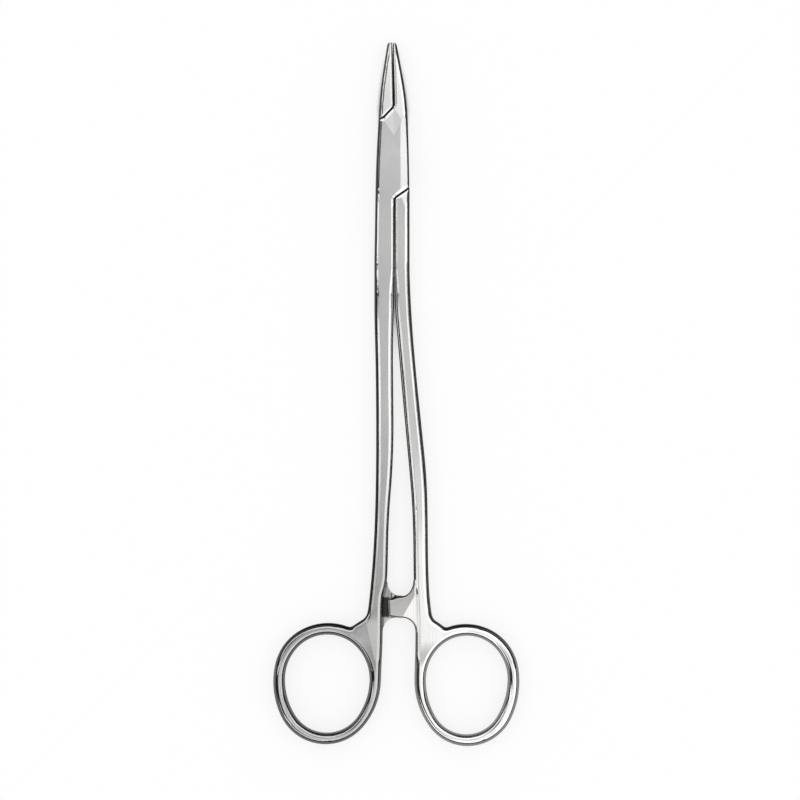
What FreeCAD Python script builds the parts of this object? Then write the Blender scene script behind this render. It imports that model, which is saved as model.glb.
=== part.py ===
import FreeCAD, Part
import math
import os

from FreeCAD import Vector as V

os.makedirs("parts", exist_ok=True)

# Needle holder, 200 mm long. X across, Y toward the tip, Z up, pivot axis through the origin.
# Bodies are built about the mid plane and lifted at the end, so the box underside is at Z = 0.
# All sizes in millimetres, angles in degrees.

# Side profile: full at the box, sloping to the tip and to the shanks
tip_y = 31.04
jaw_slope_start = 8.7
jaw_tip_half_thick = 1.35
box_half_thick = 2.8
handle_half_thick = 2.0
box_slope = (-12.5, -31.0)
slope_blend_radius = 90.0

# Edge rounding: shanks and rings, box and jaws, and the shank edges that face each other
shank_round = 1.4
box_round = 1.15
shank_gap_round = 0.75
round_change = (-41.0, -33.5)
tip_corner_round = 0.85
tip_face_round = 0.45

# Box lock
pin_radius = 1.6
pin_running_gap = 0.05
slot_half_height = 1.15
neck_gap_z = 0.06
neck_half_width = 2.5
web_gap = 0.12
slot_radius = 11.4
slot_end_gap = 0.15
opening_angle = 40.0
step_gap = 0.17
neck_flare_y = 5.0
neck_flare_x = 4.1
neck_flare_end = 9.9

# Gap between the halves: centre X and width along the shanks, at the jaw root and at the tip
shank_gap_x = 0.1
shank_gap = 0.24
jaw_root_y = 12.8
jaw_gap_root = (-0.05, 0.34)
jaw_gap_tip = (-0.43, 0.14)

# Ground edges along the parting lines, as (half width, slope): a wide flat bevel, then a steep one
parting_bevels = ((0.8, 24.0), (0.4, 62.0))

# Ground facet along the right side of the box face: where it starts, and its slope
side_facet_x = 1.8
side_facet_slope = 6.0

# Steps where the halves meet at the box, drawn on the box side
upper_step = ((-0.3, 12.45), (-2.9, 9.72), (-5.6, 8.55))
upper_step_top = 13.3
lower_step = ((0.62, -12.78), (3.95, -10.5), (5.2, -10.0))
lower_step_end = -13.55
box_low_y = -15.5

# Scooped facet where the box face runs out into the jaw, on both faces
scoop_apex = (0.0, 4.56)
scoop_left = (-2.99, 9.1)
scoop_right = (2.42, 8.83)
scoop_slope = 3.6

# Finger rings: widest level, half width, reach above and below it, lean to the right
ring_bar = 3.25
ring_power = 2.15
ring_arcs = 8
left_ring = {"x": -19.0, "y": -150.1, "half": 12.05, "up": 12.7, "down": 15.3, "lean": 1.5}
right_ring = {"x": 20.72, "y": -150.2, "half": 11.66, "up": 12.5, "down": 15.7, "lean": 1.4}
left_touch = 70
right_touch = 111

# Ratchet
arm_reach_z = 1.72
arm_base_z = 0.62
tooth_tip_z = 0.07
tooth_pitch = 1.25
tooth_count = 4
rear_first_tooth = -0.6
front_first_tooth = -1.3
arm_edge = 0.45

# Outlines of the ratchet arms, as (X, Y, heading), with straight sides where no heading is given
rear_arm_edge = [(-4.6, -137.0, None), (-3.22, -136.6, 90), (0.6, -132.6, 0), (3.9, -132.6, 0), (4.7, -131.8, 90)]
rear_arm_edge += [(4.7, -127.4, 90), (3.9, -126.6, 180), (1.6, -126.4, 180), (-1.88, -122.5, 90), (-4.6, -121.5, None)]
front_arm_edge = [(8.0, -121.3, None), (5.52, -122.0, -90), (1.9, -126.55, 180), (-1.05, -127.25, 186)]
front_arm_edge += [(-1.71, -127.9, 270), (-1.55, -131.5, 273), (-1.0, -132.15, 350), (2.4, -132.6, 0)]
front_arm_edge += [(6.09, -136.4, -90), (8.0, -137.0, None)]

# Gripping grooves of the jaws
groove_pitch = 0.9
groove_depth = 0.2
groove_half_width = 0.24
groove_start_y = 14.2

# Outlines of the closed pair, as points down each side
left_jaw_edge = [(-1.55, 33.0), (-1.83, 31.04), (-3.76, 17.66), (-4.42, 8.7)]
left_box_edge = [(-4.42, 8.7), (-4.76, 2.85), (-5.27, -12.0)]
left_shank_top = (-5.58, -31.0)
left_shank_edge = [(-5.58, -43.0), (-5.35, -55.2), (-5.07, -77.0), (-5.15, -93.0), (-6.07, -116.8), (-7.3, -129.6)]
left_shoulder = [(-8.3, -132.6), (-10.4, -134.1)]
left_stem = [(-3.22, -137.0), (-3.25, -128.6)]
left_shank_inner = [(-1.91, -120.6), (-1.45, -104.5), (-0.43, -89.4), (-0.28, -62.0), (-0.2, -50.0)]
right_jaw_edge = [(0.25, 33.1), (0.66, 31.04), (2.53, 21.1), (3.53, 14.24), (3.99, 6.3)]
right_box_edge = [(3.99, 6.3), (4.32, -7.4), (4.4, -17.0)]
right_shank_top = (4.42, -31.0)
right_shank_edge = [(4.42, -31.0), (4.78, -43.0), (5.61, -55.25), (8.29, -82.6), (9.25, -93.5), (9.56, -103.0)]
right_shank_edge += [(9.71, -116.8), (10.6, -130.6)]
right_shoulder = [(11.5, -133.2), (12.8, -134.15)]
right_stem = [(6.05, -141.0), (6.09, -134.0)]
right_shank_inner = [(5.62, -121.5), (5.5, -111.0), (5.1, -99.7), (4.27, -89.4), (1.79, -62.1), (0.63, -48.4)]


def heading(angle):
    return V(math.cos(math.radians(angle)), math.sin(math.radians(angle)), 0)


def toward(a, b):
    return math.degrees(math.atan2(b[1] - a[1], b[0] - a[0]))


def shifted(point, angle, distance):
    return (point[0] + distance * math.cos(math.radians(angle)), point[1] + distance * math.sin(math.radians(angle)))


def arc_between(start, along, end):
    """The arc that leaves start in a direction and ends at end, or a line where they line up."""
    reach = end - start
    side = V(-along.y, along.x, 0)
    if abs(side.dot(reach)) < 1e-6 * reach.Length:
        return Part.makeLine(start, end)
    centre = start + side * (reach.dot(reach) / (2 * side.dot(reach)))
    radius = (start - centre).Length
    half = (start - centre) + (end - centre)
    half.normalize()
    return Part.Arc(start, centre + half * radius, end).toShape()


def arc_pair(start, leave, end, arrive):
    """Two arcs that join two points smoothly in the given directions."""
    reach = end - start
    both = leave + arrive
    bend = 2 * (1 - leave.dot(arrive))
    if bend < 1e-9:
        size = reach.dot(reach) / (4 * reach.dot(arrive))
    else:
        size = (math.sqrt(reach.dot(both) ** 2 + bend * reach.dot(reach)) - reach.dot(both)) / bend
    middle = (start + end + (leave - arrive) * size) * 0.5
    first = arc_between(start, leave, middle)
    if first.Curve.TypeId == "Part::GeomLine":
        return [first, arc_between(middle, leave, end)]
    turn = first.tangentAt(first.LastParameter)
    return [first, arc_between(middle, turn, end)]


def flow(points, start, end):
    """A smooth chain of arcs through the points that leaves and arrives at the given headings."""
    curve = Part.BSplineCurve()
    places = [V(x, y, 0) for x, y in points]
    curve.interpolate(Points=places, InitialTangent=heading(start), FinalTangent=heading(end), Scale=False)
    ways = [curve.tangent(curve.parameter(place))[0] for place in places]
    ways[0] = heading(start)
    ways[-1] = heading(end)
    edges = []
    for k in range(len(points) - 1):
        edges += arc_pair(places[k], ways[k], places[k + 1], ways[k + 1])
    return edges


def straight(a, b):
    return Part.makeLine(V(a[0], a[1], 0), V(b[0], b[1], 0))


def slab(edges, low, high):
    """The closed outline made solid between two levels."""
    face = Part.Face(Part.Wire(edges))
    body = face.extrude(V(0, 0, high - low))
    body.translate(V(0, 0, low))
    return body


def block(points, low=-10, high=10):
    """A straight sided block over a flat polygon."""
    return slab([straight(a, b) for a, b in zip(points, points[1:] + points[:1])], low, high)


def oval_point(ring, angle, bar):
    a = math.radians(angle)
    wide = ring["half"] + bar
    tall = (ring["up"] if math.sin(a) >= 0 else ring["down"]) + bar
    reach = (abs(math.cos(a) / wide) ** ring_power + abs(math.sin(a) / tall) ** ring_power) ** (-1 / ring_power)
    turn = math.radians(angle - ring["lean"])
    return (ring["x"] + reach * math.cos(turn), ring["y"] + reach * math.sin(turn))


def oval_heading(ring, angle, bar):
    return toward(oval_point(ring, angle - 0.5, bar), oval_point(ring, angle + 0.5, bar))


def oval_run(ring, first, last, bar):
    """The edge of a ring between two angles, in either direction, as a chain of arcs."""
    count = max(1, round(abs(last - first) / 360 * ring_arcs / 2))
    turn = 0 if last > first else 180
    edges = []
    for k in range(count):
        ends = [first + (last - first) * (k + step) / count for step in (0, 1)]
        a, b = (V(*oval_point(ring, angle, bar), 0) for angle in ends)
        ways = [heading(oval_heading(ring, angle, bar) + turn) for angle in ends]
        edges += arc_pair(a, ways[0], b, ways[1])
    return edges


def side_corner(a, b, c, radius):
    """Tangent points and middle of the arc that eases the corner b of a side profile."""
    first = (a - b).normalize()
    last = (c - b).normalize()
    half = first.getAngle(last) / 2
    back = radius / math.tan(half)
    centre = b + (first + last).normalize() * (radius / math.sin(half))
    return b + first * back, centre + (b - centre).normalize() * radius, b + last * back


def thickness(body):
    """Cuts a slab to the side profile of the forging, alike above and below the mid plane."""
    past = 2.0
    drop = (box_half_thick - jaw_tip_half_thick) / (tip_y - jaw_slope_start)
    tip = V(0, tip_y + past, jaw_tip_half_thick - drop * past)
    jaw = V(0, jaw_slope_start, box_half_thick)
    box = V(0, box_slope[0], box_half_thick)
    shank = V(0, box_slope[1], handle_half_thick)
    end = V(0, -180, handle_half_thick)
    over = [Part.makeLine(tip, jaw)]
    last = jaw
    for corner in ((jaw, box, shank), (box, shank, end)):
        a, middle, b = side_corner(*corner, slope_blend_radius)
        over += [Part.makeLine(last, a), Part.Arc(a, middle, b).toShape()]
        last = b
    over.append(Part.makeLine(last, end))
    under = [edge.mirror(V(0, 0, 0), V(0, 0, 1)) for edge in over]
    ends = [Part.makeLine(point, V(0, point.y, -point.z)) for point in (tip, end)]
    profile = Part.Face(Part.Wire(Part.__sortEdges__(over + under + ends)))
    band = profile.extrude(V(100, 0, 0))
    band.translate(V(-50, 0, 0))
    return body.common(band)


def rim_edges(body, low, high):
    """Numbers and edges of the upper and lower rim, leaving out the cut ends at the two levels."""
    found = []
    for number, edge in enumerate(body.Edges, 1):
        middle = edge.valueAt((edge.FirstParameter + edge.LastParameter) / 2)
        tilts = []
        for face in body.ancestorsOfType(edge, Part.Face):
            u0, u1, v0, v1 = face.ParameterRange
            tilts.append(abs(face.normalAt((u0 + u1) / 2, (v0 + v1) / 2).z))
        if len(tilts) == 2 and min(tilts) < 0.1 and max(tilts) > 0.9 and low < middle.y < high:
            found.append((number, edge))
    return found


def rounded_band(body, size, low, high):
    """One length of the body, cut across at two levels; size gives the rounding at a point."""
    piece = body.common(Part.makeBox(200, high - low, 40, V(-100, low, -20)))
    rims = []
    for number, edge in rim_edges(piece, low + 0.001, high - 0.001):
        sizes = [size(edge.valueAt(place)) for place in (edge.FirstParameter, edge.LastParameter)]
        rims.append((number, *sizes))
    sheet = FreeCAD.newDocument()
    base = sheet.addObject("Part::Feature", "base")
    base.Shape = piece
    feature = sheet.addObject("Part::Fillet", "rim")
    feature.Base = base
    feature.Edges = rims
    sheet.recompute()
    result = feature.Shape.copy()
    FreeCAD.closeDocument(sheet.Name)
    return result


def change(y, below, above):
    """A rounding that changes evenly over the straight length of the shanks."""
    low, high = round_change
    share = min(max((y - low) / (high - low), 0), 1)
    return below + (above - below) * share


def handle(edges, ring, size, top):
    """A shank with its ring, rounded length by length up to a level."""
    body = thickness(slab(edges, -4, 4).cut(slab(oval_run(ring, 0, 360, 0), -5, 5)))
    levels = (-200, -100, *round_change, top)
    bands = [rounded_band(body, size, low, high) for low, high in zip(levels, levels[1:])]
    return bands[0].multiFuse(bands[1:])


def left_handle():
    """Left shank and ring, from the box down the outside and back up the inside."""
    ring = left_ring
    inner_x = shank_gap_x - shank_gap / 2
    start = left_box_edge[-1]
    meet = oval_point(ring, left_touch, ring_bar)
    side = oval_point(ring, 360, ring_bar)
    lean = toward(start, left_shank_top)
    low = (left_shank_top[0], round_change[1])
    edges = [straight(start, left_shank_top)]
    edges += flow([left_shank_top, low], lean, -90)
    edges.append(straight(low, left_shank_edge[0]))
    edges += flow(left_shank_edge, -90, -97)
    edges += flow([left_shank_edge[-1], *left_shoulder, meet], -97, oval_heading(ring, left_touch, ring_bar))
    edges += oval_run(ring, left_touch, 360, ring_bar)
    edges += flow([side, *left_stem], oval_heading(ring, 360, ring_bar), 90)
    edges += flow([left_stem[-1], left_shank_inner[0]], 90, 88)
    edges += flow(left_shank_inner + [(inner_x, round_change[0])], 88, 90)
    edges.append(straight((inner_x, round_change[0]), (inner_x, start[1])))
    edges.append(straight((inner_x, start[1]), start))

    def size(point):
        if point.y < round_change[0]:
            return shank_round
        inner = abs(point.x - inner_x) < 0.1
        return change(point.y, shank_round, shank_gap_round if inner else box_round)

    return handle(edges, ring, size, box_low_y)


def right_handle():
    """Right shank and ring, from the step down the outside and back up the inside."""
    ring = right_ring
    inner_x = shank_gap_x + shank_gap / 2
    start = (right_shank_top[0], -8.0)
    meet = oval_point(ring, right_touch, ring_bar)
    side = oval_point(ring, -180, ring_bar)
    back = oval_heading(ring, right_touch, ring_bar) - 180
    rise = oval_heading(ring, -180, ring_bar) + 180
    edges = [straight(start, right_shank_top)]
    edges += flow(right_shank_edge, -90, -82)
    edges += flow([right_shank_edge[-1], *right_shoulder, meet], -82, back)
    edges += oval_run(ring, right_touch, -180, ring_bar)
    edges += flow([side, *right_stem], rise, 90)
    edges += flow([right_stem[-1], right_shank_inner[0]], 90, 91)
    edges += flow(right_shank_inner + [(inner_x, round_change[0])], 91, 90)
    edges.append(straight((inner_x, round_change[0]), (inner_x, start[1])))
    edges.append(straight((inner_x, start[1]), start))

    def size(point):
        inner = point.y >= round_change[0] and abs(point.x - inner_x) < 0.1
        return change(point.y, shank_round, shank_gap_round) if inner else shank_round

    return handle(edges, ring, size, start[1])


def corner_cutter(corner, arrive, leave, radius):
    """What a rounded corner removes from a sharp one, drawn flat and counterclockwise."""
    turn = math.radians((leave - arrive) / 2)
    back = radius * math.tan(turn)
    first = shifted(corner, arrive, -back)
    last = shifted(corner, leave, back)
    centre = shifted(first, arrive + 90, radius)
    middle = shifted(centre, (arrive + leave) / 2 - 90, radius)
    spare = 1.0
    outer = [first, shifted(first, arrive - 90, spare), shifted(shifted(corner, arrive - 90, spare), leave - 90, spare)]
    outer += [shifted(last, leave - 90, spare), last]
    edges = [straight(a, b) for a, b in zip(outer, outer[1:])]
    edges.append(Part.Arc(V(*last, 0), V(*middle, 0), V(*first, 0)).toShape())
    return slab(edges, -20, 20)


def finished_tip(jaw):
    """Cuts the jaws off at the tip and rounds their nose, seen from above and from the side."""
    jaw = jaw.cut(Part.makeBox(60, 20, 20, V(-30, tip_y, -10)))
    right = toward(right_jaw_edge[1], right_jaw_edge[0])
    left = toward(left_jaw_edge[0], left_jaw_edge[1])
    jaw = jaw.cut(corner_cutter(right_jaw_edge[1], right, 180, tip_corner_round))
    jaw = jaw.cut(corner_cutter(left_jaw_edge[1], 180, left + 360, tip_corner_round))
    fall = math.degrees(math.atan2(box_half_thick - jaw_tip_half_thick, tip_y - jaw_slope_start))
    lower = corner_cutter((tip_y, -jaw_tip_half_thick), fall, 90, tip_face_round)
    upper = corner_cutter((tip_y, jaw_tip_half_thick), 90, 180 - fall, tip_face_round)
    for cutter in (lower, upper):
        cutter.rotate(V(0, 0, 0), V(1, 1, 1), 120)
        jaw = jaw.cut(cutter)
    return jaw


def above_plane(a, b, slope, past):
    """The space above a plane that leaves the box face at the line a to b and falls to its left."""
    space = Part.makeBox(math.dist(a, b) + 2 * past, 60, 10, V(-past, 0, 0))
    space.rotate(V(0, 0, 0), V(1, 0, 0), -slope)
    space.rotate(V(0, 0, 0), V(0, 0, 1), toward(a, b))
    space.translate(V(*a, box_half_thick))
    return space


def both_faces(body, cutter):
    return body.cut(cutter).cut(cutter.mirror(V(0, 0, 0), V(0, 0, 1)))


def scoop():
    """The two sloping planes that run the box face out into the jaw."""
    left = above_plane(scoop_left, scoop_apex, scoop_slope, 60)
    return left.common(above_plane(scoop_apex, scoop_right, scoop_slope, 60))


def side_facet():
    """The space above the facet, which fades out on the jaw and where the shank gets thin."""
    return above_plane((side_facet_x, tip_y), (side_facet_x, box_slope[1]), side_facet_slope, 0)


def head():
    """Box and both closed jaws as one rounded blank, before it is parted."""
    lean = toward(left_shank_top, left_box_edge[-1])
    edges = [straight(right_jaw_edge[0], left_jaw_edge[0])]
    end = toward(left_jaw_edge[0], left_jaw_edge[1])
    edges += flow(left_jaw_edge + left_box_edge[1:], end, lean - 180)
    edges.append(straight(left_box_edge[-1], shifted(left_box_edge[-1], lean, -4)))
    low = right_box_edge[-1]
    edges.append(straight(shifted(left_box_edge[-1], lean, -4), low))
    end = toward(right_jaw_edge[1], right_jaw_edge[0])
    edges += flow((right_jaw_edge + right_box_edge[1:])[::-1], 90.5, end)
    body = thickness(slab(edges, -4, 4))
    body = rounded_band(body, lambda point: box_round, box_low_y, tip_y + 0.26)
    body = both_faces(finished_tip(body), scoop())
    return both_faces(body, side_facet())


def gap_face(side, y):
    """X of a jaw's gripping face: side +1 for the right jaw, -1 for the left."""
    share = (y - jaw_root_y) / (tip_y - jaw_root_y)
    centre = jaw_gap_root[0] + (jaw_gap_tip[0] - jaw_gap_root[0]) * share
    width = jaw_gap_root[1] + (jaw_gap_tip[1] - jaw_gap_root[1]) * share
    return centre + side * width / 2


def beside(path, distance):
    """A path of straight lines moved to its right, still joined at its bends."""
    ways = [toward(a, b) for a, b in zip(path, path[1:])]
    ways = [ways[0], *ways, ways[-1]]
    moved = []
    for point, before, after in zip(path, ways, ways[1:]):
        bend = math.radians(after - before) / 2
        moved.append(shifted(point, (before + after) / 2 - 90, distance / math.cos(bend)))
    return moved


def upper_space(side, distance):
    """Where the left jaw is: left of a gripping face and beyond the step, moved by a distance."""
    far = 35.0
    path = beside(upper_step, distance)
    top = (gap_face(side, far), far)
    root = (gap_face(side, upper_step_top), upper_step_top)
    edges = [straight(top, root)]
    edges += flow([root, path[0]], toward(top, root), toward(path[0], path[1]))
    corners = path + [(-far, path[-1][1]), (-far, far), top]
    edges += [straight(a, b) for a, b in zip(corners, corners[1:])]
    return slab(edges, -10, 10)


def lower_space(side, distance):
    """Where the right shank is: right of a shank's inner side and below the step, moved by a distance."""
    far = 200.0
    path = beside(lower_step, distance)
    x = shank_gap_x + side * shank_gap / 2
    edges = [straight((x, -far), (x, lower_step_end))]
    edges += flow([(x, lower_step_end), path[0]], 90, toward(path[0], path[1]))
    corners = path + [(far, path[-1][1]), (far, -far), (x, -far)]
    edges += [straight(a, b) for a, b in zip(corners, corners[1:])]
    return slab(edges, -10, 10)


def face_height(x, y):
    """Half thickness of the box and jaws at a point of the face."""
    sides = []
    for end in (scoop_left, scoop_right):
        angle = math.radians(toward(scoop_apex, end))
        across = (x - scoop_apex[0]) * math.sin(angle) - (y - scoop_apex[1]) * math.cos(angle)
        inside = across if end is scoop_left else -across
        sides.append(box_half_thick - inside * math.tan(math.radians(scoop_slope)))
    jaw_fall = (box_half_thick - jaw_tip_half_thick) / (tip_y - jaw_slope_start)
    shank_fall = (box_half_thick - handle_half_thick) / (box_slope[0] - box_slope[1])
    jaw = box_half_thick - jaw_fall * max(y - jaw_slope_start, 0)
    shank = box_half_thick - shank_fall * max(box_slope[0] - y, 0)
    facet = box_half_thick - math.tan(math.radians(side_facet_slope)) * max(x - side_facet_x, 0)
    return min(jaw, shank, facet, max(sides))


def broken_edges(path):
    """V grooves along a path on both faces, which leave the parted edges bevelled."""
    tools = []
    for a, b in zip(path, path[1:]):
        start = V(*a, face_height(*a))
        end = V(*b, face_height(*b))
        for half, slope in parting_bevels:
            deep = V(0, 0, half * math.tan(math.radians(slope)))
            across = heading(toward(a, b) + 90) * half
            corners = [start - across * 2 + deep, start + across * 2 + deep, start - deep]
            tool = Part.Face(Part.makePolygon(corners + corners[:1])).extrude(end - start)
            tools += [tool, tool.mirror(V(0, 0, 0), V(0, 0, 1))]
    return tools


def parting_grooves(body):
    """Bevels the edges along the jaw gap and along both steps."""
    jaw = [((gap_face(1, y) + gap_face(-1, y)) / 2, y) for y in (upper_step_top, tip_y + 1)]
    upper = [jaw[0], *beside(upper_step, step_gap / 2)]
    lower = [(shank_gap_x, box_low_y - 0.5), (shank_gap_x, lower_step_end), *beside(lower_step, step_gap / 2)]
    for path in (jaw, upper, lower):
        for tool in broken_edges(path):
            body = body.cut(tool)
    return body


def grooves(side):
    """Crossed V grooves over a gripping face."""
    root = (gap_face(side, groove_start_y), groove_start_y)
    lean = toward(root, (gap_face(side, tip_y), tip_y)) - 90
    reach = tip_y - groove_start_y
    step = groove_pitch * math.sqrt(2)
    tools = []
    for slant in (45, -45):
        for k in range(-3, int(reach / step) + 4):
            points = [(0.1, -groove_half_width * 1.5), (0.1, groove_half_width * 1.5), (-groove_depth, 0)]
            corners = [V(x * side, y, -8) for x, y in points]
            tool = Part.Face(Part.makePolygon(corners + corners[:1])).extrude(V(0, 0, 16))
            tool.rotate(V(0, 0, 0), V(1, 0, 0), slant)
            tool.translate(V(0, (k + 0.5) * step, 0))
            tools.append(tool)
    limit = Part.makeBox(4, reach + 5, 12, V(-2, 0, -6))
    tools = [tool.common(limit) for tool in tools]
    for tool in tools:
        tool.rotate(V(0, 0, 0), V(0, 0, 1), lean)
        tool.translate(V(root[0], root[1], 0))
    return Part.makeCompound(tools)


def neck_stop(distance):
    """Corner and far point of a web end that lies along the fully opened neck."""
    angle = math.radians(opening_angle)
    y = -distance * math.tan(angle / 2)
    far = 6.0
    return (-distance, y), (-distance - far * math.sin(angle), y + far * math.cos(angle))


def lock_slot():
    """The flat passage through the box, open on the left above one web and on the right below the other."""
    reach = neck_half_width + web_gap
    corner, far = neck_stop(reach)
    inner = gap_face(1, jaw_root_y)
    band = Part.makeCylinder(slot_radius, 2 * slot_half_height, V(0, 0, -slot_half_height))
    band = band.common(Part.makeBox(2 * reach, 60, 20, V(-reach, -30, -10)))
    above = [(inner, 20.0), (-12.0, 20.0), (-12.0, far[1]), far, corner, (inner, corner[1])]
    inner = shank_gap_x - shank_gap / 2
    below = [(inner, -20.0), (12.0, -20.0), (12.0, -far[1]), (-far[0], -far[1]), (-corner[0], -corner[1])]
    below.append((inner, -corner[1]))
    opens = [block(points, -slot_half_height, slot_half_height) for points in (above, below)]
    return band.multiFuse(opens)


def neck():
    """The thin bar of the moving half that passes through the box and turns on the pin."""
    radius = slot_radius - slot_end_gap
    half = slot_half_height - neck_gap_z
    w = neck_half_width
    end = math.sqrt(radius ** 2 - w ** 2)
    top_x = gap_face(-1, jaw_root_y)
    low_x = shank_gap_x + shank_gap / 2
    rise = math.sqrt(radius ** 2 - top_x ** 2)
    drop = math.sqrt(radius ** 2 - low_x ** 2)
    bow_top = shifted((0, 0), 84, radius)
    bow_low = shifted((0, 0), 264, radius)
    upper = [(top_x, rise), (top_x, 15.0), (-3.6, 15.0), (-neck_flare_x, neck_flare_end), (-w, neck_flare_y), (-w, -end)]
    lower = [(low_x, -drop), (low_x, -15.0), (3.9, -15.0), (neck_flare_x, -neck_flare_end), (w, -neck_flare_y), (w, end)]
    edges = [straight(a, b) for a, b in zip(upper, upper[1:])]
    edges.append(Part.Arc(V(*upper[-1], 0), V(*bow_low, 0), V(*lower[0], 0)).toShape())
    edges += [straight(a, b) for a, b in zip(lower, lower[1:])]
    edges.append(Part.Arc(V(*lower[-1], 0), V(*bow_top, 0), V(*upper[0], 0)).toShape())
    bar = slab(edges, -half, half)
    return bar.cut(Part.makeCylinder(pin_radius + pin_running_gap, 10, V(0, 0, -5)))


def arm_plan(points):
    """Outline of a ratchet arm: each point is (x, y, heading); straight where the heading is None."""
    edges = []
    for a, b in zip(points, points[1:] + points[:1]):
        bend = a[2] is not None and b[2] is not None and a[2] != b[2]
        edges += flow([a[:2], b[:2]], a[2], b[2]) if bend else [straight(a[:2], b[:2])]
    return edges


def arm(plan, side, first_tooth):
    """A ratchet arm above the mid plane with its saw teeth toward it, turned over for the rear one."""
    body = slab(arm_plan(plan), arm_base_z, arm_reach_z)
    rim = [e for e in body.Edges if e.BoundBox.ZMin > arm_reach_z - 0.01 and abs(e.CenterOfMass.x) < 5.4]
    body = body.makeChamfer(arm_edge, rim)
    root = (arm_base_z + arm_reach_z) / 2
    end = first_tooth + tooth_count * tooth_pitch
    saw = [(end, root), (first_tooth, root), (first_tooth, arm_base_z)]
    for k in range(tooth_count):
        x = first_tooth + k * tooth_pitch
        saw.append((x + tooth_pitch if side > 0 else x, tooth_tip_z))
        saw.append((x + tooth_pitch, arm_base_z))
    corners = [V(x, -140, z) for x, z in saw]
    teeth = Part.Face(Part.makePolygon(corners + corners[:1])).extrude(V(0, 20, 0))
    body = body.fuse(teeth.common(slab(arm_plan(plan), -1, root)))
    if side < 0:
        body = body.mirror(V(0, 0, 0), V(0, 0, 1))
    return body


def box_half():
    body = head().cut(upper_space(1, 0)).cut(lower_space(-1, 0))
    body = body.fuse(left_handle())
    body = body.cut(lock_slot()).cut(Part.makeCylinder(pin_radius, 10, V(0, 0, -5)))
    return parting_grooves(body.cut(grooves(1))).fuse(arm(rear_arm_edge, -1, rear_first_tooth))


def tenon_half():
    jaw = head().common(upper_space(-1, step_gap)).cut(grooves(-1))
    shank = both_faces(right_handle().common(lower_space(1, step_gap)), side_facet())
    body = parting_grooves(jaw).multiFuse([parting_grooves(shank), neck()])
    return body.fuse(arm(front_arm_edge, 1, front_first_tooth))


def pivot_pin():
    return Part.makeCylinder(pin_radius, 2 * box_half_thick, V(0, 0, -box_half_thick))


def one_solid(shape):
    """The body without the loose crumbs that crossing grooves leave at its edge."""
    return max(shape.removeSplitter().Solids, key=lambda solid: solid.Volume)


for name, build in (("box_half", box_half), ("tenon_half", tenon_half), ("pivot_pin", pivot_pin)):
    solid = one_solid(build())
    solid.translate(V(0, 0, box_half_thick))
    print(name, solid.ShapeType, "valid" if solid.isValid() else "not valid", len(solid.Faces), "faces")
    solid.exportStep("parts/" + name + ".step")
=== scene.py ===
import math

import bpy
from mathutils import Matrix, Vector

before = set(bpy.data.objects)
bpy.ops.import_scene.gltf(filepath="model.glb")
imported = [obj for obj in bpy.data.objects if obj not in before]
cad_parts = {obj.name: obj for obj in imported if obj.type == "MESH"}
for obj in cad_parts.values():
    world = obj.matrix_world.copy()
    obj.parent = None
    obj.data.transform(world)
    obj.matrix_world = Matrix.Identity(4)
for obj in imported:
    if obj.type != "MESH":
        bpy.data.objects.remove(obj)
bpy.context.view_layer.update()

# where the photo's 800 by 800 frame sits over the instrument, in metres
shot = {
    "centre": (0.00171, -0.07063),   # the spot under the middle of the picture
    "width": 0.22784,                # what the picture's width covers at mid height of the steel
    "height": 1.1,                   # camera above the middle of the steel
    "steelMiddle": 0.0028,           # that middle above the table
    "sensor": 36.0,
    "clipStart": 0.05,
}


def newMaterial(name):
    material = bpy.data.materials.new(name)
    material.use_nodes = True
    material.node_tree.nodes.clear()
    return material, material.node_tree


def mathNode(tree, kind, first, second=0):
    node = tree.nodes.new("ShaderNodeMath")
    node.operation = kind
    for socket, value in zip(node.inputs, (first, second)):
        if isinstance(value, (int, float)):
            socket.default_value = value
        else:
            tree.links.new(value, socket)
    return node.outputs[0]


def noiseAt(tree, place, scale, detail, stretch=(1, 1, 1)):
    spread = tree.nodes.new("ShaderNodeMapping")
    spread.inputs["Scale"].default_value = [scale * part for part in stretch]
    tree.links.new(place, spread.inputs["Vector"])
    noise = tree.nodes.new("ShaderNodeTexNoise")
    noise.inputs["Scale"].default_value = 1.0
    noise.inputs["Detail"].default_value = detail
    tree.links.new(spread.outputs[0], noise.inputs["Vector"])
    return noise.outputs[0]


def remapped(tree, value, low, high, newLow, newHigh):
    ranger = tree.nodes.new("ShaderNodeMapRange")
    for name, number in (("From Min", low), ("From Max", high), ("To Min", newLow), ("To Max", newHigh)):
        ranger.inputs[name].default_value = number
    tree.links.new(value, ranger.inputs["Value"])
    return ranger.outputs[0]


def ramp(tree, value, start, full):
    # 0 before start and 1 past full, in whichever order the two are
    return remapped(tree, value, start, full, 0.0, 1.0)


def larger(tree, *values):
    most = values[0]
    for value in values[1:]:
        most = mathNode(tree, "MAXIMUM", most, value)
    return most


def times(tree, *values):
    product = values[0]
    for value in values[1:]:
        product = mathNode(tree, "MULTIPLY", product, value)
    return product


def opposite(tree, value):
    return mathNode(tree, "SUBTRACT", 1.0, value)


def between(tree, value, first, last, softFirst, softLast):
    # 1 from first to last, fading out beyond them
    return times(tree, ramp(tree, value, first - softFirst, first), ramp(tree, value, last + softLast, last))


def coordinates(tree):
    place = tree.nodes.new("ShaderNodeTexCoord").outputs["Object"]
    parts = tree.nodes.new("ShaderNodeSeparateXYZ")
    tree.links.new(place, parts.inputs[0])
    return place, parts.outputs["X"], parts.outputs["Y"]


def fromAxis(tree, x, y):
    return mathNode(tree, "SQRT", mathNode(tree, "ADD", times(tree, x, x), times(tree, y, y)))


def madeUnit(tree, vector):
    unit = tree.nodes.new("ShaderNodeVectorMath")
    unit.operation = "NORMALIZE"
    tree.links.new(vector, unit.inputs[0])
    return unit.outputs[0]


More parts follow.
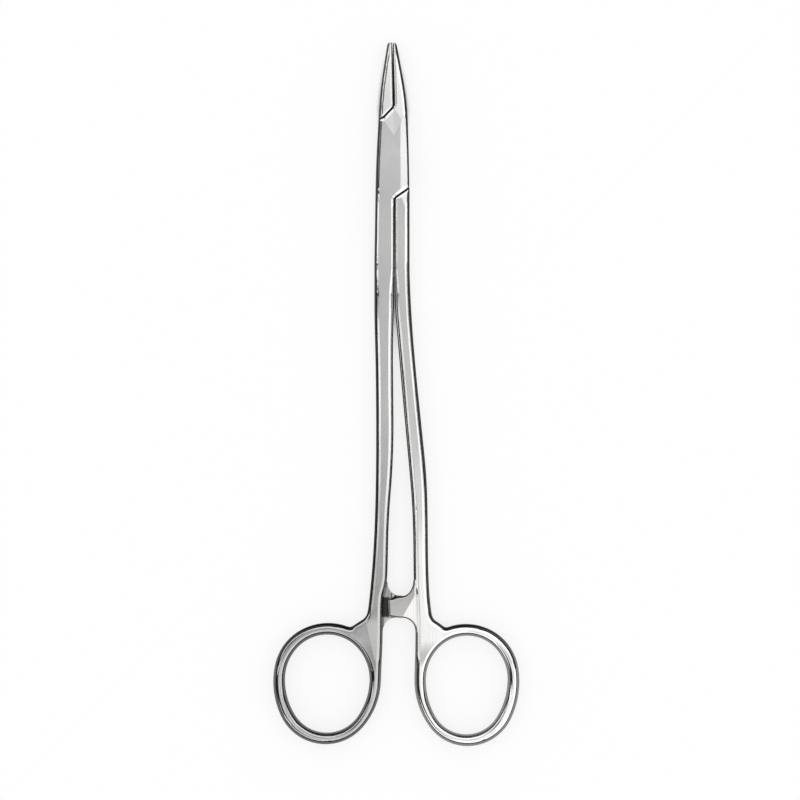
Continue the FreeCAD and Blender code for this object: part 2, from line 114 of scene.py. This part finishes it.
def dimmed(tree, color, factor):
    scale = tree.nodes.new("ShaderNodeVectorMath")
    scale.operation = "SCALE"
    tree.links.new(color, scale.inputs[0])
    tree.links.new(factor, scale.inputs["Scale"])
    return scale.outputs[0]


def blended(tree, share, first, second):
    mix = tree.nodes.new("ShaderNodeMix")
    mix.data_type = "VECTOR"
    tree.links.new(share, mix.inputs[0])
    tree.links.new(first, mix.inputs[4])
    tree.links.new(second, mix.inputs[5])
    return mix.outputs[1]


def bumped(tree, height, strength, distance, normal, inward=False):
    bump = tree.nodes.new("ShaderNodeBump")
    bump.invert = inward
    bump.inputs["Strength"].default_value = strength
    bump.inputs["Distance"].default_value = distance
    tree.links.new(height, bump.inputs["Height"])
    tree.links.new(normal, bump.inputs["Normal"])
    return bump.outputs[0]


# the ground satin shared by both forgings
satin = {
    "steel": (0.63, 0.63, 0.625),
    "cool": (0.59, 0.60, 0.60),      # faint grey clouds left by the finishing wheel
    "warm": (0.66, 0.65, 0.635),
    "cloudStops": (0.36, 0.5, 0.66),     # where the clouds are cool, plain and warm
    "cloudSize": 70.0,               # clouds per metre
    "cloudLong": 0.35,
    "roughLow": 0.11,
    "roughHigh": 0.19,
    "roughSpan": (0.35, 0.65),
    "grainAcross": 5200.0,           # fine lines run along the instrument
    "grainAlong": 260.0,
    "grainSpan": (0.3, 0.7),
    "grainRough": 0.03,
    "grainBump": 0.05,
    "grainDepth": 0.00004,
    "scratchSize": (900, 60, 900),
    "scratchTurn": 7,                # degrees off the length
    "scratchWidth": 0.05,
    "scratchBump": 0.10,
    "scratchDepth": 0.00002,
    "waviness": 0.05,                # slow unevenness of hand ground faces
    "waveDepth": 0.01,
    "wavesPerMetre": 36.0,
    "edgeBreak": 0.0004,             # sharp edges look broken by this much
    "pinCalm": (0.0022, 0.0025),     # but not round the pin, which is ground flush
    # painted shade: clefts and narrow gaps get their base colour darkened
    "cleftReach": 0.0013,            # how far a cleft is looked across to darken it
    "cleftSpan": (0.50, 0.76),
    "cleftPaintedShade": 0.03,
    "ringRough": 0.07,               # the rings are polished brighter and rounder than the shanks
    "ringRound": 0.7,
    "ringRim": (1.06, 0.98),
    # painted shade: a black line painted along the closed jaws' parting line
    "parting": {"foot": (-0.00003, 0.0134), "tip": (-0.0004, 0.031), "half": 0.00029, "dark": 0.04,
                "soft": 0.00005, "footSoft": 0.0002},
}

# the fixed half: its lower shank has painted shade, a base colour darkening toward the ring, and a light facet
# lies by the ring
boxLook = dict(
    satin,
    # painted shade: the base colour darkens down the lower shank
    paintedLightAndShade=[(-0.07, -0.125, 0.6)],
    ring={"x": -0.019, "y": -0.1514, "half": 0.0156, "tall": 0.01755},
    lean={"slope": (0.095, 0.03), "start": -0.128, "full": -0.134, "fade": -0.144, "gone": -0.150,
          "point": (-0.0073, -0.1372), "side": (0.975, 0.22), "beside": 1.0, "above": 1.0,
          "soft": 0.00012, "softAbove": 0.0004, "plate": 1.0},
    # painted shade: a dark patch painted in the cleft between shank and ratchet plate
    shade={"left": -0.0032, "right": -0.0013, "low": -0.1325, "high": -0.1268, "soft": 0.0002, "dark": 0.1},
)

# the moving half: its lower shank is ground a few degrees toward the right, the ratchet plate isn't; the lower
# shank also has painted light and the jaws painted shade
tenonLook = dict(
    satin,
    # painted light on the lower shank's base colour, painted shade on the jaws' base colour
    paintedLightAndShade=[(-0.05, -0.1, 1.06), (0.006, 0.013, 0.86)],
    ring={"x": 0.0207, "y": -0.1516, "half": 0.0152, "tall": 0.01755},
    lean={"slope": (0.095, 0.045), "start": -0.066, "full": -0.112, "fade": -0.139, "gone": -0.147,
          "point": (0.00584, -0.1263), "side": (0.87, -0.5), "beside": 0.0058, "above": -0.1225,
          # plate: painted shade, the ratchet plate beside the slanted line gets a darker base colour
          "soft": 0.00012, "softAbove": 0.0004, "plate": 0.66},
)

# the pin is the same steel, ground over with the box
pinSteel = dict(satin, steel=(0.60, 0.60, 0.60), roughLow=0.16, roughHigh=0.26)


def groundPart(tree, x, y, lean):
    # 1 on the hand ground part of a shank, 0 on the plate beside its slanted line
    point, side, soft, softAbove = lean["point"], lean["side"], lean["soft"], lean["softAbove"]
    across = mathNode(tree, "MULTIPLY", mathNode(tree, "SUBTRACT", x, point[0]), side[0])
    along = mathNode(tree, "MULTIPLY", mathNode(tree, "SUBTRACT", y, point[1]), side[1])
    past = ramp(tree, mathNode(tree, "ADD", across, along), -soft, soft)
    beside = ramp(tree, x, lean["beside"] - soft, lean["beside"] + soft)
    above = ramp(tree, y, lean["above"] - softAbove, lean["above"] + softAbove)
    return larger(tree, past, beside, above)


def leaning(tree, y, normal, part, lean):
    # turns the face a few degrees on the hand ground part of a shank
    here = times(tree, part, ramp(tree, y, lean["start"], lean["full"]),
                 ramp(tree, y, lean["gone"], lean["fade"]))
    push = tree.nodes.new("ShaderNodeVectorMath")
    push.operation = "SCALE"
    push.inputs[0].default_value = (*lean["slope"], 0)
    tree.links.new(here, push.inputs["Scale"])
    both = tree.nodes.new("ShaderNodeVectorMath")
    both.operation = "ADD"
    tree.links.new(normal, both.inputs[0])
    tree.links.new(push.outputs[0], both.inputs[1])
    return madeUnit(tree, both.outputs[0])


def onRing(tree, x, y, ring, rim):
    # 1 within a ring's outer oval, 0 outside
    across = mathNode(tree, "DIVIDE", mathNode(tree, "SUBTRACT", x, ring["x"]), ring["half"])
    along = mathNode(tree, "DIVIDE", mathNode(tree, "SUBTRACT", y, ring["y"]), ring["tall"])
    square = mathNode(tree, "ADD", times(tree, across, across), times(tree, along, along))
    return ramp(tree, square, *rim)


def rounder(tree, normal, ring, much):
    # turns every slope on the ring further over, so that it mirrors like a round bar
    parts = tree.nodes.new("ShaderNodeSeparateXYZ")
    tree.links.new(normal, parts.inputs[0])
    gain = mathNode(tree, "ADD", 1.0, mathNode(tree, "MULTIPLY", ring, much))
    joined = tree.nodes.new("ShaderNodeCombineXYZ")
    for axis in "XY":
        tree.links.new(times(tree, parts.outputs[axis], gain), joined.inputs[axis])
    tree.links.new(parts.outputs["Z"], joined.inputs["Z"])
    return madeUnit(tree, joined.outputs[0])


def paintedPartingShade(tree, x, y, line):
    # painted shade: a black line painted along where the closed jaws meet, from 1 beside it to its darkness on
    # it
    (footX, footY), (tipX, tipY) = line["foot"], line["tip"]
    half, soft, footSoft = line["half"], line["soft"], line["footSoft"]
    middleX = remapped(tree, y, footY, tipY, footX, tipX)
    off = mathNode(tree, "ABSOLUTE", mathNode(tree, "SUBTRACT", x, middleX))
    on = times(tree, ramp(tree, off, half + soft, half - soft),
               ramp(tree, y, footY - footSoft, footY + footSoft))
    return remapped(tree, on, 0.0, 1.0, 1.0, line["dark"])


def paintedCleftShade(tree, x, y, shade):
    # painted shade: a dark patch painted in the cleft between shank and ratchet plate, from 1 outside it to
    # its darkness inside
    soft = shade["soft"]
    inside = times(tree, ramp(tree, x, shade["left"] - soft, shade["left"] + soft),
                   ramp(tree, x, shade["right"] + soft, shade["right"] - soft),
                   ramp(tree, y, shade["low"] - soft, shade["low"] + soft),
                   ramp(tree, y, shade["high"] + soft, shade["high"] - soft))
    return remapped(tree, inside, 0.0, 1.0, 1.0, shade["dark"])


def steelColor(tree, look, clouds, x, y, part):
    blend = tree.nodes.new("ShaderNodeValToRGB")
    stops = blend.color_ramp.elements
    coolAt, steelAt, warmAt = look["cloudStops"]
    stops[0].position, stops[1].position = coolAt, warmAt
    stops[0].color = (*look["cool"], 1)
    stops[1].color = (*look["warm"], 1)
    stops.new(steelAt).color = (*look["steel"], 1)
    tree.links.new(clouds, blend.inputs[0])
    color = blend.outputs[0]
    for start, full, factor in look.get("paintedLightAndShade", []):
        color = dimmed(tree, color, remapped(tree, y, start, full, 1.0, factor))
    # painted shade along the jaws' parting line
    color = dimmed(tree, color, paintedPartingShade(tree, x, y, look["parting"]))
    # painted shade on the ratchet plate beside the slanted line
    if part:
        color = dimmed(tree, color, remapped(tree, part, 0.0, 1.0, look["lean"]["plate"], 1.0))
    # painted shade in the cleft beside the ratchet
    if "shade" in look:
        color = dimmed(tree, color, paintedCleftShade(tree, x, y, look["shade"]))
    # painted shade: the base colour is darkened in clefts and narrow gaps, where ambient occlusion finds them
    # closed in
    cleft = tree.nodes.new("ShaderNodeAmbientOcclusion")
    cleft.samples = 12
    cleft.inputs["Distance"].default_value = look["cleftReach"]
    return dimmed(tree, color, remapped(tree, cleft.outputs["AO"], *look["cleftSpan"], look["cleftPaintedShade"], 1.0))


def steelRoughness(tree, look, clouds, grain, ring):
    swing = look["grainRough"]
    rough = remapped(tree, clouds, *look["roughSpan"], look["roughLow"], look["roughHigh"])
    rough = mathNode(tree, "ADD", rough, remapped(tree, grain, *look["grainSpan"], -swing, swing))
    if ring:
        bright = mathNode(tree, "MULTIPLY", ring, look["ringRough"])
        rough = mathNode(tree, "ADD", times(tree, rough, opposite(tree, ring)), bright)
    return rough


def hairScratches(tree, look, place):
    thin = tree.nodes.new("ShaderNodeMapping")
    thin.inputs["Scale"].default_value = look["scratchSize"]
    thin.inputs["Rotation"].default_value = (0, 0, math.radians(look["scratchTurn"]))
    tree.links.new(place, thin.inputs["Vector"])
    scratches = tree.nodes.new("ShaderNodeTexVoronoi")
    scratches.feature = "DISTANCE_TO_EDGE"
    scratches.inputs["Scale"].default_value = 1.0
    tree.links.new(thin.outputs[0], scratches.inputs["Vector"])
    return ramp(tree, scratches.outputs["Distance"], look["scratchWidth"], 0.0)


def steelNormal(tree, look, place, x, y, grain, ring, part):
    # the face itself, from broad to fine
    edge = tree.nodes.new("ShaderNodeBevel")
    edge.samples = 8
    edge.inputs["Radius"].default_value = look["edgeBreak"]
    flush = ramp(tree, fromAxis(tree, x, y), *look["pinCalm"])
    plain = tree.nodes.new("ShaderNodeNewGeometry").outputs["Normal"]
    normal = blended(tree, flush, plain, edge.outputs[0])
    if ring:
        normal = rounder(tree, normal, ring, look["ringRound"])
    if part:
        normal = leaning(tree, y, normal, part, look["lean"])
    waves = noiseAt(tree, place, look["wavesPerMetre"], 1)
    hair = hairScratches(tree, look, place)
    normal = bumped(tree, waves, look["waviness"], look["waveDepth"], normal)
    normal = bumped(tree, grain, look["grainBump"], look["grainDepth"], normal)
    return bumped(tree, hair, look["scratchBump"], look["scratchDepth"], normal, inward=True)


def groundSteel(name, look):
    # satin steel: clouded tone, lengthwise grain, hair scratches and broken edges, with painted light and
    # shade along the shanks and painted shade in clefts and along the jaws' parting line
    material, tree = newMaterial(name)
    place, x, y = coordinates(tree)
    ring = onRing(tree, x, y, look["ring"], look["ringRim"]) if "ring" in look else None
    part = groundPart(tree, x, y, look["lean"]) if "lean" in look else None
    clouds = noiseAt(tree, place, look["cloudSize"], 4, (1, look["cloudLong"], 1))
    across = look["grainAcross"]
    grain = noiseAt(tree, place, across, 3, (1, look["grainAlong"] / across, 1))
    shader = tree.nodes.new("ShaderNodeBsdfPrincipled")
    shader.inputs["Metallic"].default_value = 1.0
    tree.links.new(steelColor(tree, look, clouds, x, y, part), shader.inputs["Base Color"])
    tree.links.new(steelRoughness(tree, look, clouds, grain, ring), shader.inputs["Roughness"])
    tree.links.new(steelNormal(tree, look, place, x, y, grain, ring, part), shader.inputs["Normal"])
    output = tree.nodes.new("ShaderNodeOutputMaterial")
    tree.links.new(shader.outputs[0], output.inputs[0])
    return material


def dress(node, material):
    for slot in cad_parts[node].material_slots:
        slot.material = material


dress("box_half", groundSteel("boxHalfSatin", boxLook))
dress("tenon_half", groundSteel("tenonHalfSatin", tenonLook))
dress("pivot_pin", groundSteel("pinGroundOver", pinSteel))
print("steel finishes on both forgings and the pin")


def flatCard(name, corners, material):
    # a flat card or table from its four corners
    mesh = bpy.data.meshes.new(name)
    mesh.from_pydata([Vector(corner) for corner in corners], [], [(0, 1, 2, 3)])
    card = bpy.data.objects.new(name, mesh)
    card.data.materials.append(material)
    bpy.context.scene.collection.objects.link(card)
    return card


def squareCorners(reach, level=0):
    return [(-reach, -reach, level), (reach, -reach, level), (reach, reach, level), (-reach, reach, level)]


def onlyMirrored(card):
    card.visible_camera = False
    card.visible_diffuse = False
    card.visible_shadow = False


def glow(name):
    material, tree = newMaterial(name)
    light = tree.nodes.new("ShaderNodeEmission")
    output = tree.nodes.new("ShaderNodeOutputMaterial")
    tree.links.new(light.outputs[0], output.inputs[0])
    return material, tree, light.inputs["Strength"]


# the light tent: only its mirror image in the steel is seen, and places on its roof are
# given as distances from its middle divided by its height
tent = {
    "skyHeight": 1.5,
    "skySize": 7.0,
    "straightUp": 0.72,
    "bright": 1.75,
    "dark": 0.03,
    "rightStarts": (0.12, 0.26),     # where grey turns to white toward the right
    "topStarts": (0.12, 0.36),
    "topLeftEnds": (-0.45, -0.20),   # near the middle the white at the top doesn't reach far left
    "topFree": (0.5, 0.65),
    "bevelWindow": (-1.4, -0.9),     # but for a window that the edges of the jaws' parting line see
    "windowSoft": 0.05,
    "lowStarts": (-0.55, -0.75),
    "leftStarts": (-0.16, -0.30),    # where grey turns to black toward the left
    "leftStrip": (-1.2, -0.22),      # a white strip in that black, seen by the lower shanks only
    "leftStripSoft": (0.15, 0.05),
    "leftStripSpan": (-0.075, 0.04),
    "spanSoft": 0.015,
    "ringLine": (-0.112, -0.12),     # beyond this lies the white strip that draws the rings' crown line
    "ringStrip": (0.07, 0.10),       # its half width
    "ringDip": (0.034, 0.005, 0.012),    # a dim line in it, seen where the rings' crown runs across
    "rightEnds": (2.0, 0.5, 1.3),    # where the right turns black, for the shanks, the box and the jaws
    "rightEndsAt": (0.05, 0.09, 0.15, 0.2),
    "rightEndSoft": 0.12,
    "farEnds": (2.0, 1.5),           # how far toward both ends all turns black
    "wall": 0.02,
    "wallFoot": -0.3,
}


def skyGlow():
    # the roof: mid grey overhead, white to the right and both ends, black to the left and far out
    material, tree, strength = glow("tentRoof")
    _, x, y = coordinates(tree)
    x = mathNode(tree, "DIVIDE", x, tent["skyHeight"])
    y = mathNode(tree, "DIVIDE", y, tent["skyHeight"])
    reachesLeft = larger(tree, ramp(tree, x, *tent["topLeftEnds"]), ramp(tree, y, *tent["topFree"]))
    top = times(tree, ramp(tree, y, *tent["topStarts"]), reachesLeft)
    low = ramp(tree, y, *tent["lowStarts"])
    soft = tent["windowSoft"]
    window = times(tree, between(tree, x, *tent["bevelWindow"], soft, soft), ramp(tree, y, *tent["topStarts"]))
    ends = larger(tree, top, low, window)
    # the white strip for the rings' crown line, with a dim line on either side of the middle
    aside = mathNode(tree, "ABSOLUTE", x)
    middleOff, dipFrom, dipTo = tent["ringDip"]
    dip = mathNode(tree, "ABSOLUTE", mathNode(tree, "SUBTRACT", aside, middleOff))
    strip = opposite(tree, ramp(tree, aside, *tent["ringStrip"]))
    crown = times(tree, strip, ramp(tree, y, *tent["ringLine"]), ramp(tree, dip, dipFrom, dipTo))
    right = ramp(tree, x, *tent["rightStarts"])
    # the strip in the black left side
    soft = tent["spanSoft"]
    leftStrip = times(tree, between(tree, x, *tent["leftStrip"], *tent["leftStripSoft"]),
                      between(tree, y, *tent["leftStripSpan"], soft, soft))
    lit = larger(tree, right, ends, crown, leftStrip)
    leftSide = times(tree, ramp(tree, x, *tent["leftStarts"]), opposite(tree, larger(tree, ends, leftStrip)))
    # far out all falls to black, which draws the dark outlines
    shankEnd, boxEnd, jawEnd = tent["rightEnds"]
    shankLine, boxLine, boxTop, jawLine = tent["rightEndsAt"]
    rightEnd = larger(tree, remapped(tree, y, shankLine, boxLine, shankEnd, boxEnd),
                      remapped(tree, y, boxTop, jawLine, boxEnd, jawEnd))
    beyond = mathNode(tree, "SUBTRACT", x, rightEnd)
    soft = tent["rightEndSoft"]
    farOut, farIn = tent["farEnds"]
    keep = times(tree, opposite(tree, leftSide), ramp(tree, beyond, soft, -soft),
                 ramp(tree, y, farOut, farIn), ramp(tree, y, -farOut, -farIn))
    level = mathNode(tree, "MULTIPLY", lit, tent["bright"] - tent["straightUp"])
    level = mathNode(tree, "ADD", level, tent["straightUp"])
    level = mathNode(tree, "ADD", times(tree, level, keep), tent["dark"])
    tree.links.new(level, strength)
    return material


# the dark card under all, which upright faces mirror, in metres from the picture's middle
underCard = {
    "level": -0.02,
    "dark": 0.02,
    "rings": 0.33,                   # by the rings and left of the box it is a little lighter
    "ringsFrom": (-0.05, -0.065),
    "box": 0.13,
    "boxFrom": (0.02, 0.04),
    "boxLeft": (-0.003, -0.006),
    "band": (0.05, 0.062, 0.14, 0.2),    # a dim grey band round the instrument
    "bandHalf": 0.1,                 # its straight half length
    "pale": 0.14,
}


def underGlow():
    material, tree, strength = glow("tentUnder")
    _, x, y = coordinates(tree)
    rings = mathNode(tree, "MULTIPLY", ramp(tree, y, *underCard["ringsFrom"]), underCard["rings"])
    box = times(tree, ramp(tree, y, *underCard["boxFrom"]), ramp(tree, x, *underCard["boxLeft"]),
                underCard["box"])
    pastEnds = mathNode(tree, "SUBTRACT", mathNode(tree, "ABSOLUTE", y), underCard["bandHalf"])
    away = fromAxis(tree, x, mathNode(tree, "MAXIMUM", pastEnds, 0.0))
    innerDark, innerPale, outerPale, outerDark = underCard["band"]
    band = times(tree, ramp(tree, away, innerDark, innerPale), ramp(tree, away, outerDark, outerPale),
                 underCard["pale"])
    tree.links.new(mathNode(tree, "ADD", larger(tree, rings, box, band), underCard["dark"]), strength)
    return material


middle = shot["centre"]
reach = tent["skySize"] / 2
high = tent["skyHeight"]
foot = tent["wallFoot"]
roof = flatCard("tentRoof", squareCorners(reach), skyGlow())
roof.location = (*middle, high)
onlyMirrored(roof)
wallGlow, _, wallStrength = glow("tentWall")
wallStrength.default_value = tent["wall"]
for name, a, b in (("wallRight", (reach, -reach), (reach, reach)),
                   ("wallLeft", (-reach, -reach), (-reach, reach)),
                   ("wallTop", (-reach, reach), (reach, reach)),
                   ("wallLow", (-reach, -reach), (reach, -reach))):
    wall = flatCard(name, [(*a, foot), (*b, foot), (*b, high), (*a, high)], wallGlow)
    wall.location = (*middle, 0)
    onlyMirrored(wall)
under = flatCard("tentUnder", squareCorners(reach, underCard["level"]), underGlow())
under.location = (*middle, 0)
onlyMirrored(under)
print("light tent is up")

# the white table: its shadow is kept, but weak, and the white backdrop it shows is painted darker under narrow
# clefts, as painted shade
table = {
    "white": 0.93,
    "size": 3.0,
    "light": 1.06,                   # the room's light on it
    "shadow": 0.22,
    "cleftReach": 0.003,
    "cleftSpan": (0.09, 0.38),
    # painted shade on the table under the jaws
    "paintedShadeUnderJaws": 0.3,                # the jaws hang above it, so their parting line takes more shade
    "jawLine": (0.0, 0.012),
}


def whiteTable():
    material, tree = newMaterial("whiteTable")
    cloth = tree.nodes.new("ShaderNodeBsdfDiffuse")
    cloth.inputs["Color"].default_value = (*[table["white"]] * 3, 1)
    near = tree.nodes.new("ShaderNodeAmbientOcclusion")
    near.samples = 16
    near.inputs["Distance"].default_value = table["cleftReach"]
    _, _, y = coordinates(tree)
    jawFrom, jawFull = (line - shot["centre"][1] for line in table["jawLine"])
    jawShade = remapped(tree, y, jawFrom, jawFull, 0.0, table["paintedShadeUnderJaws"])
    # painted shade: the backdrop's white is dimmed where the table is closed in and under the jaws
    openness = mathNode(tree, "SUBTRACT", near.outputs["AO"], jawShade)
    backdrop = tree.nodes.new("ShaderNodeEmission")
    tree.links.new(ramp(tree, openness, *table["cleftSpan"]), backdrop.inputs["Strength"])
    ray = tree.nodes.new("ShaderNodeLightPath")
    seen = larger(tree, ray.outputs["Is Camera Ray"], ray.outputs["Is Glossy Ray"],
                  ray.outputs["Is Transmission Ray"])
    mix = tree.nodes.new("ShaderNodeMixShader")
    tree.links.new(mathNode(tree, "MULTIPLY", seen, 1.0 - table["shadow"]), mix.inputs[0])
    tree.links.new(cloth.outputs[0], mix.inputs[1])
    tree.links.new(backdrop.outputs[0], mix.inputs[2])
    output = tree.nodes.new("ShaderNodeOutputMaterial")
    tree.links.new(mix.outputs[0], output.inputs[0])
    return material


floor = flatCard("whiteTable", squareCorners(table["size"] / 2), whiteTable())
floor.location = (*middle, 0)
floor.visible_glossy = False         # the steel mirrors the card under the table instead of the table

world = bpy.data.worlds.new("softRoom")
world.use_nodes = True
room = world.node_tree.nodes["Background"]
room.inputs["Color"].default_value = (1, 1, 1, 1)
room.inputs["Strength"].default_value = table["light"]
world.cycles_visibility.glossy = False
bpy.context.scene.world = world
print("white table and soft room light")

lens = bpy.data.cameras.new("overhead")
lens.sensor_width = shot["sensor"]
lens.lens = shot["sensor"] * shot["height"] / shot["width"]
lens.clip_start = shot["clipStart"]
camera = bpy.data.objects.new("overhead", lens)
camera.location = (*middle, shot["height"] + shot["steelMiddle"])
bpy.context.scene.collection.objects.link(camera)
bpy.context.scene.camera = camera
bpy.context.scene.view_settings.view_transform = "Standard"
print("camera overhead")

print("needle holder ready")
